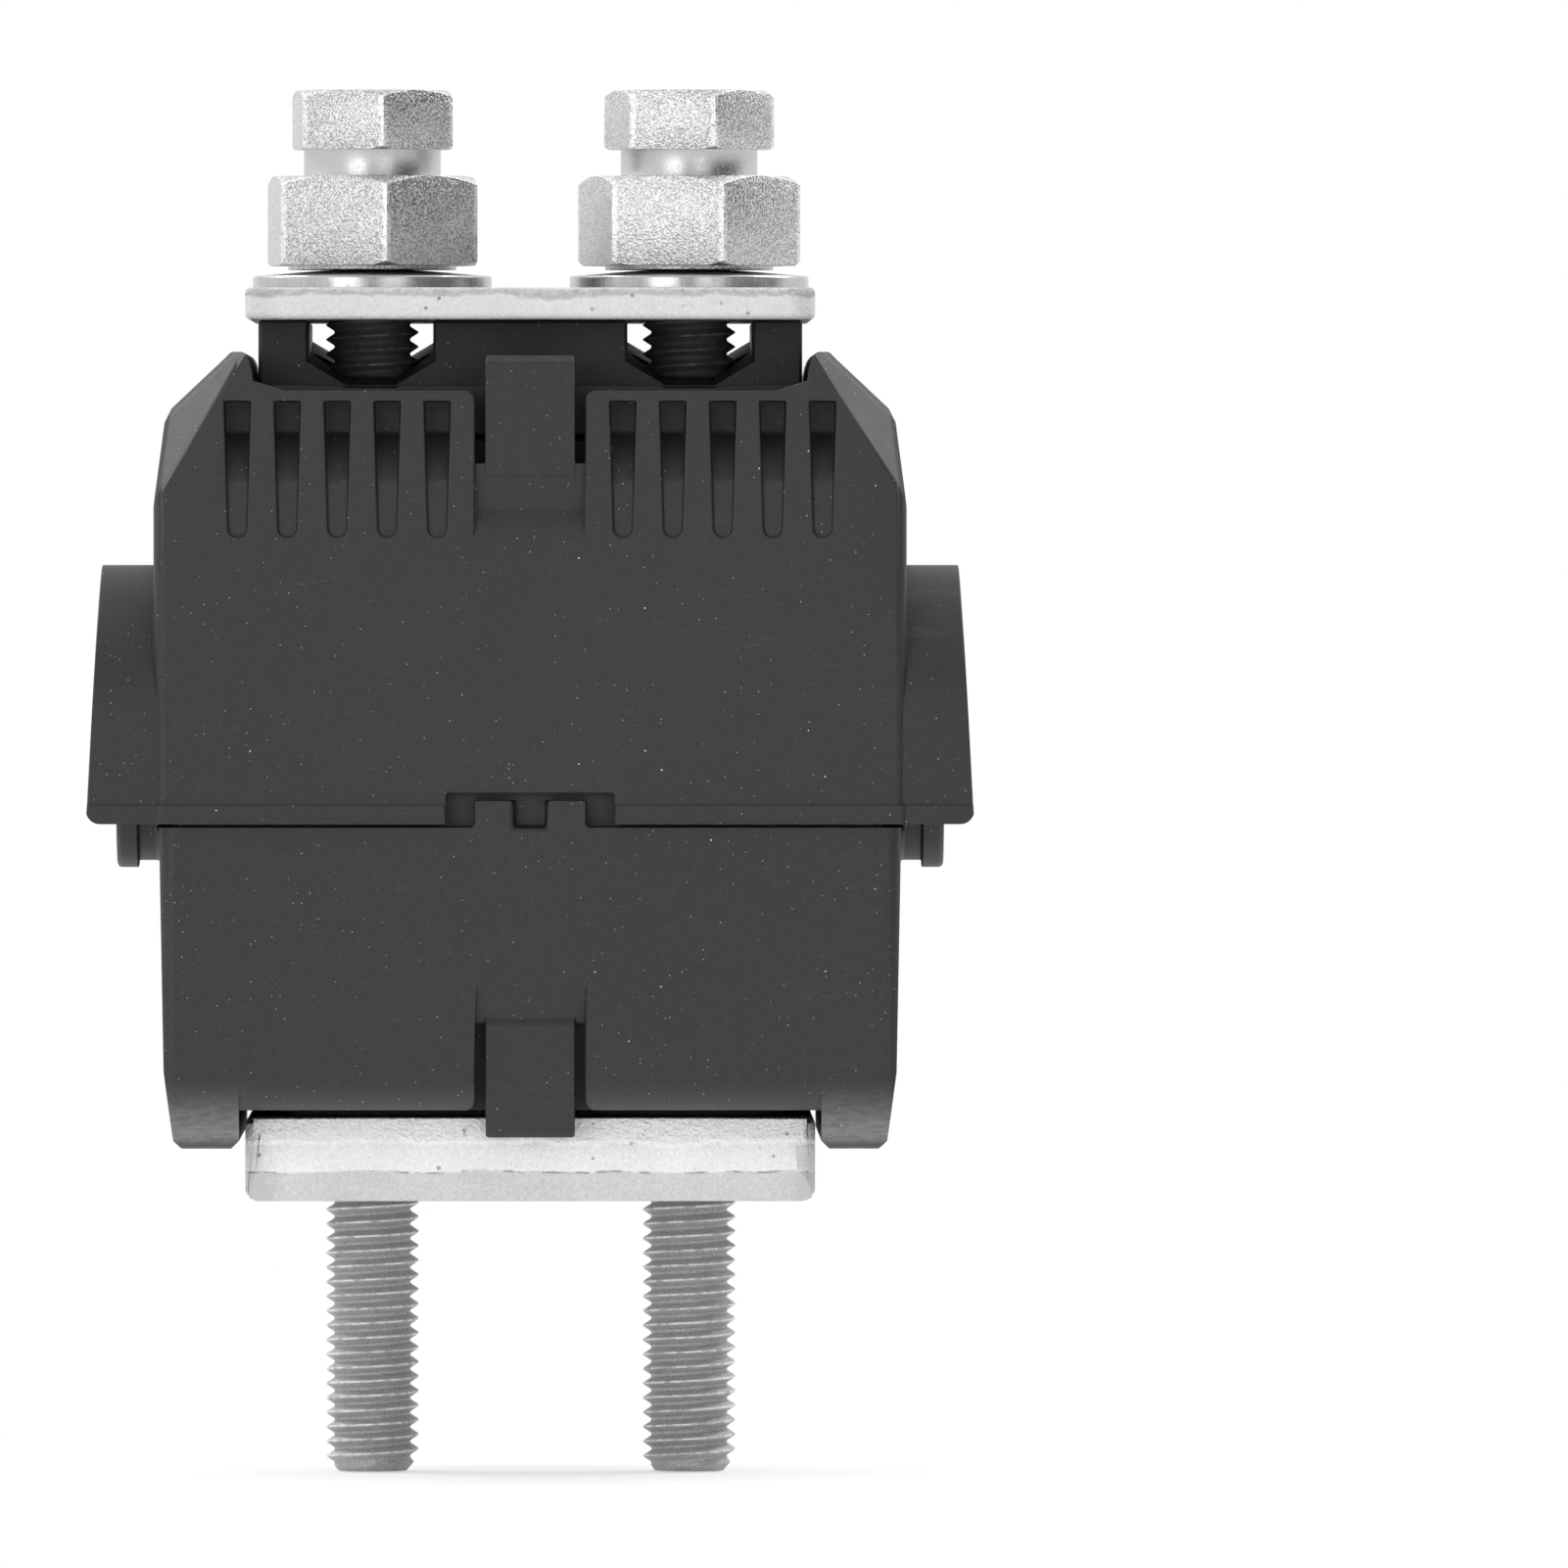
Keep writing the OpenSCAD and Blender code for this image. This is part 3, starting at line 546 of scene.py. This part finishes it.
def soften_shoulders(form):
    """Parts a strip along each corner slope's long sides, and gives the lines that shade round."""
    slopes = [
        face for face in form.faces
        if min(abs(face.normal.x), abs(face.normal.y), face.normal.z) > SHOULDER_LEAN
        and face.calc_area() > SHOULDER_AREA
    ]
    pieces = []
    for slope in slopes:
        strips = [across(line, slope) for line in slope.edges if line.calc_length() > SHOULDER_SIDE]
        parts = [slope]
        for middle, inward in strips:
            cut = bmesh.ops.bisect_plane(
                form, geom=with_rims(parts), dist=NEAR,
                plane_co=middle + SHOULDER_ROUND * inward, plane_no=inward,
            )
            parts = [item for item in cut["geom"] if isinstance(item, bmesh.types.BMFace)]
        pieces += parts
    rims = dict.fromkeys(line for piece in pieces for line in piece.edges)
    return [line for line in rims if SHOULDER_TURN < line.calc_face_angle(0) < BLUNT]


def shape_upper_shell(form):
    step_slot_floors(form)
    form.normal_update()
    return soften_shoulders(form)


dress(
    eased_copy(
        "upper_housing", "upper_shell", HOUSING_EDGE, [*bolts_and_blades, *slots],
        reshape=shape_upper_shell, wide=SHOULDER_EDGE,
    ),
    black_nylon, "upper_jaw", "housing", "upper_housing",
)


# Plate spacer: the loose bridge between the upper housing and its plate, with a
# window round each bolt. A smoother moulding of the same nylon, its darker tone
# painted shade for its place in the shadow under the plate.
SPACER_EDGE = 0.3 * MM
# Painted shade: a tone far darker than the housing's, for the shadow under the plate.
spacer_nylon_painted_shade = moulded_nylon("spacer_nylon_painted_shade", 0.0055)
dress(
    eased_copy("plate_spacer", "plate_bridge", SPACER_EDGE, both_bolts),
    spacer_nylon_painted_shade, "upper_jaw", "housing", "plate_spacer",
)


# Upper plate: a flat strip that spreads the bolts' pull over the spacer and the
# housing. Steel, sheared to size, drilled and galvanised like the lower plate.
STRIP_EDGE = 0.45 * MM
STRIP_TORN_FROM = 36.1 * MM
STRIP_SMOOTH_TO = 33.0 * MM
dress(
    eased_copy("upper_plate", "pressure_plate", STRIP_EDGE, both_bolts, steps=4),
    sheared_zinc("strip_zinc", STRIP_TORN_FROM, STRIP_SMOOTH_TO, -0.4, 0.86),
    "upper_jaw", "plates", "upper_plate",
)


# Conical spring washers under the bolt heads: pressed spring steel, zinc plated
# and shinier than the plate that they rest on, so the lamps show in them.
def plated_steel(name):
    material, wires, where, shader = new_material(name)
    wave = wires.noise(where, 420, 2)
    fine = wires.noise(wires.stretched(where, (1.0, 1.0, 0.3)), 2600, 3, 0.6)
    stain = wires.noise(where, 700, 4, 0.7).rise(0.55, 0.75)
    level = 0.5 * wave + 0.5 * fine
    zinc = level.blend(grey(0.34, -0.01), grey(0.68, -0.004))
    wires.feed(shader.inputs["Base Color"], (0.4 * stain).blend(zinc, grey(0.34, -0.02)))
    shader.inputs["Metallic"].default_value = 1.0
    wires.feed(shader.inputs["Roughness"], 0.17 + 0.14 * fine + 0.12 * stain)
    emboss(wires, shader, 0.5, 0.05 * MM, wave + 0.4 * fine)
    return material


WASHER_EDGE = 0.18 * MM
washer_zinc = plated_steel("washer_zinc")
for side in ("left", "right"):
    node = f"washer_{side}"
    dress(
        eased_copy(node, f"spring_washer_{side}", WASHER_EDGE, both_bolts),
        washer_zinc, "upper_jaw", "washers", node,
    )


# Shear bolts: a drive hexagon, a thin neck that breaks at the right torque and a
# second hexagon below it. Steel, blasted and zinc plated, with a rolled M8 thread.
HEAD_FOOT = 38.46 * MM
HEAD_EDGE = 0.16 * MM
HEAD_SHARPEST = math.radians(24)
CUT_NEAR = 1e-7


def close_holes(form):
    rims = [edge for edge in form.edges if edge.is_boundary]
    bmesh.ops.holes_fill(form, edges=rims, sides=0)


def bolt_head(node):
    """The two hexagons and the neck, from the bolt's solid, with its edges eased."""
    form = merged_copy(node)
    bmesh.ops.bisect_plane(
        form, geom=everything(form), dist=CUT_NEAR,
        plane_co=(0, 0, HEAD_FOOT), plane_no=(0, 0, 1), clear_inner=True,
    )
    close_holes(form)
    make_faces_whole(form)
    sharp = [edge for edge in form.edges if edge.calc_face_angle(0) > HEAD_SHARPEST]
    bmesh.ops.bevel(
        form, geom=sharp, offset=HEAD_EDGE, offset_type="OFFSET", segments=2,
        profile=0.5, affect="EDGES", material=-1, clamp_overlap=True,
    )
    return form


# Radius in mm and height in pitches, from root to root.
THREAD_FORM = (
    (3.26, 0.0), (3.3, 0.1), (3.9, 0.41), (3.98, 0.46),
    (3.98, 0.54), (3.9, 0.59), (3.3, 0.9), (3.26, 1.0),
)
THREAD_PITCH = 1.25 * MM
THREAD_STEPS = 36
THREAD_INTO_HEAD = 0.2 * MM
TURN_NEAR = 3e-6
TIP_Z = -65.05 * MM
TIP_RADIUS = 2.95 * MM
TIP_SLOPE = 0.85


def rolled_thread(x, y):
    """A right-hand thread round the upright line at x, y, cut off at the head and the tip."""
    turns = math.ceil((HEAD_FOOT - TIP_Z) / THREAD_PITCH) + 2
    form = bmesh.new()
    corners = [
        form.verts.new((x + radius * MM, y, TIP_Z + (height - 1) * THREAD_PITCH))
        for radius, height in THREAD_FORM
    ]
    for first, second in zip(corners, corners[1:]):
        form.edges.new((first, second))
    bmesh.ops.spin(
        form, geom=everything(form), cent=(x, y, 0), axis=(0, 0, 1), angle=math.tau,
        dvec=(0, 0, THREAD_PITCH / THREAD_STEPS), steps=THREAD_STEPS, use_merge=False,
    )
    made = 1
    while made < turns:
        again = bmesh.ops.duplicate(form, geom=everything(form))
        upper = [item for item in again["geom"] if isinstance(item, bmesh.types.BMVert)]
        bmesh.ops.translate(form, verts=upper, vec=(0, 0, made * THREAD_PITCH))
        made *= 2
    bmesh.ops.remove_doubles(form, verts=form.verts, dist=TURN_NEAR)
    for height, facing in ((TIP_Z, 1), (HEAD_FOOT + THREAD_INTO_HEAD, -1)):
        bmesh.ops.bisect_plane(
            form, geom=everything(form), dist=CUT_NEAR,
            plane_co=(0, 0, height), plane_no=(0, 0, facing), clear_inner=True,
        )
    for vert in form.verts:
        out = Vector((vert.co.x - x, vert.co.y - y, 0))
        allowed = TIP_RADIUS + TIP_SLOPE * (vert.co.z - TIP_Z)
        if out.length > allowed:
            vert.co -= out * (1 - allowed / out.length)
    close_holes(form)
    bmesh.ops.recalc_face_normals(form, faces=form.faces)
    return form


def reach_from(wires, where, x, y):
    """How far a place lies from the upright line at x, y."""
    flat = {"Vector": where, "Location": (-x, -y, 0), "Scale": (1, 1, 0)}
    flat = wires.node("ShaderNodeMapping", {}, flat)
    return wires.node("ShaderNodeVectorMath", {"operation": "LENGTH"}, {0: flat}, "Value")


HEAD_START = (38.3 * MM, 38.5 * MM)
DRIVE_START = (47 * MM, 47.2 * MM)
CREST = (3.86 * MM, 3.96 * MM)
PAST_NECK = (5.9 * MM, 6.3 * MM)
WIDE_CORNER = (9.55 * MM, 9.7 * MM)
DRIVE_CORNER = (7.25 * MM, 7.4 * MM)


def bolt_zinc(name, x, y):
    """Blasted, sparkling zinc on the head, its corners paler with a painted edge highlight and
    wear; below it a duller thread with paler crests, a painted highlight.
    """
    material, wires, where, shader = new_material(name)
    height = wires.part(where, "Z")
    reach = reach_from(wires, where, x, y)
    on_head = height.rise(*HEAD_START)
    on_drive = height.rise(*DRIVE_START)
    on_faces = on_head * reach.rise(*PAST_NECK)
    crest = reach.rise(*CREST)
    blasted = wires.noise(where, 5600, 1, 0.5)
    grains = blasted.rise(0.36, 0.64)
    coarse = wires.noise(where, 1500, 2, 0.5)
    cloud = wires.noise(where, 240, 4, 0.6)
    # Paler hex corners: a painted edge highlight along with wear, broken up by coarse noise.
    corner_highlight_and_wear = reach.rise(*WIDE_CORNER) + on_drive * reach.rise(*DRIVE_CORNER)
    corner_highlight_and_wear = corner_highlight_and_wear * coarse.rise(0.3, 0.5)
    head = 0.5 + on_faces * (0.6 * grains + 0.25 * coarse + 0.15 * cloud - 0.5)
    head = (head + 0.5 * corner_highlight_and_wear).blend(grey(0.27, 0.004), grey(0.86, 0.008))
    broken = wires.noise(where, 900, 3, 0.7).rise(0.35, 0.6)
    # Paler, broken lines on the thread's crests: a painted highlight.
    thread = 0.3 * grains + 0.2 * cloud + 0.7 * crest * broken
    thread = thread.blend(grey(0.28, -0.004), grey(0.76))
    wires.feed(shader.inputs["Base Color"], on_head.blend(thread, head))
    wires.feed(shader.inputs["Metallic"], 0.4 + 0.6 * on_head)
    wires.feed(shader.inputs["Roughness"], 0.5 - 0.2 * on_head - 0.02 * on_faces + 0.12 * grains)
    emboss(wires, shader, 1.0, 0.06 * MM, (0.03 + 0.97 * on_faces) * (blasted + 0.6 * coarse))
    return material


BOLT_Y = 18 * MM
BOLT_SHARPEST = math.radians(28)
for side, bolt_x in (("left", -BOLT_X), ("right", BOLT_X)):
    node = f"shear_bolt_{side}"
    whole = bolt_head(node)
    thread = rolled_thread(bolt_x, BOLT_Y)
    shank = bpy.data.meshes.new("shank")
    thread.to_mesh(shank)
    thread.free()
    whole.from_mesh(shank)
    bpy.data.meshes.remove(shank)
    bolt = piece_of(whole, f"torque_bolt_{side}", BOLT_SHARPEST)
    dress(bolt, bolt_zinc(f"bolt_zinc_{side}", bolt_x, BOLT_Y), f"bolt_{side}", "bolts", node)


# Studio: a white floor under the bolts and a white surround, darker where the
# camera stands and behind a flag on its right. Two soft boxes stand beside the
# far camera, which looks straight at the front, two behind, and one overhead.
FLOOR_Z = TIP_Z - 0.1 * MM
FLOOR_HALF = 6.0
FLOOR_FADE = (0.04, 0.12)
floor_mesh = bpy.data.meshes.new("studio_floor")
floor_form = bmesh.new()
bmesh.ops.create_grid(floor_form, x_segments=1, y_segments=1, size=FLOOR_HALF)
bmesh.ops.translate(floor_form, verts=floor_form.verts, vec=(0, 0, FLOOR_Z))
floor_form.to_mesh(floor_mesh)
floor_form.free()
studio_floor = bpy.data.objects.new("studio_floor", floor_mesh)
bpy.context.scene.collection.objects.link(studio_floor)


def ray_kinds(wires):
    """1 on rays from the camera, and 1 on rays mirrored in a surface or passed through it."""
    camera, glossy, passed = (
        wires.node("ShaderNodeLightPath", {}, {}, f"Is {kind} Ray")
        for kind in ("Camera", "Glossy", "Transmission")
    )
    return camera, wires.maths("MINIMUM", glossy + passed, 1.0)


floor_paint, wires, where, shader = new_material("floor_paint")
shader.inputs["Base Color"].default_value = grey(0.94)
shader.inputs["Roughness"].default_value = 0.9
camera_ray, mirror_ray = ray_kinds(wires)
away = reach_from(wires, where, 0, 0)
glow = wires.node("ShaderNodeEmission", {}, {"Color": grey(1.0), "Strength": 1.0})
far_floor = wires.node(
    "ShaderNodeMixShader",
    {},
    {
        0: (camera_ray + mirror_ray) * (0.5 + 0.5 * away.rise(*FLOOR_FADE)),
        1: Wire(wires.tree, shader.outputs["BSDF"]),
        2: glow,
    },
)
wires.feed(wires.tree.nodes["Material Output"].inputs["Surface"], far_floor)
floor_mesh.materials.append(floor_paint)

FLAG_SIDE = (0.87, -0.5, 0.0)
world = bpy.data.worlds.new("studio_surround")
world.use_nodes = True
bpy.context.scene.world = world
wires = Wire(world.node_tree)
direction = wires.node("ShaderNodeTexCoord", {}, {}, "Generated")
towards_flag = wires.node(
    "ShaderNodeVectorMath", {"operation": "DOT_PRODUCT"}, {0: direction, 1: FLAG_SIDE}, "Value"
)
camera_ray, mirror_ray = ray_kinds(wires)
open_side = 0.3 + 0.7 * wires.part(direction, "Y").rise(-0.95, -0.5)
flagged = 1 - 0.97 * towards_flag.rise(0.66, 0.93)
unlit_ray = wires.maths("MINIMUM", camera_ray + mirror_ray, 1.0)
surround = camera_ray + (mirror_ray + (1 - unlit_ray) * 0.8) * open_side * flagged
background = world.node_tree.nodes["Background"]
wires.feed(background.inputs["Color"], grey(1.0))
wires.feed(background.inputs["Strength"], surround)

LAMP_AIM = Vector((0, 0.015, 0))


def soft_lamp(name, place, size, power, mirrored=True):
    """A square soft box aimed at the connector. Zinc shows no glare of one that isn't mirrored."""
    light = bpy.data.lights.new(name, "AREA")
    light.shape = "SQUARE"
    light.size = size
    light.energy = power
    lamp = bpy.data.objects.new(name, light)
    lamp.location = place
    lamp.visible_glossy = mirrored
    lamp.rotation_euler = (LAMP_AIM - Vector(place)).to_track_quat("-Z", "Y").to_euler()
    bpy.context.scene.collection.objects.link(lamp)


soft_lamp("lamp_front_left", (-0.63, -1.36, 0.2), 0.75, 4.6)
soft_lamp("lamp_front_right", (0.54, -1.4, 0.2), 0.75, 2.2)
soft_lamp("lamp_overhead", (0, -0.1, 1.3), 1.4, 8, mirrored=False)
soft_lamp("lamp_back_left", (-0.77, 0.38, 0.76), 0.5, 7)
soft_lamp("lamp_back_right", (0.77, 0.38, 0.76), 0.5, 6.5)

CAMERA_FROM = Vector((0.004, -2.3, 0.016))
CAMERA_TO = Vector((0.0217, 0.0, -0.0057))
FRAME_WIDTH = 0.13417
SENSOR_WIDTH = 36
camera_data = bpy.data.cameras.new("camera")
camera_data.sensor_width = SENSOR_WIDTH
camera_data.lens = SENSOR_WIDTH * (CAMERA_TO - CAMERA_FROM).length / FRAME_WIDTH
camera = bpy.data.objects.new("camera", camera_data)
camera.location = CAMERA_FROM
camera.rotation_euler = (CAMERA_TO - CAMERA_FROM).to_track_quat("-Z", "Y").to_euler()
bpy.context.scene.collection.objects.link(camera)
bpy.context.scene.camera = camera
bpy.context.scene.view_settings.view_transform = "Standard"
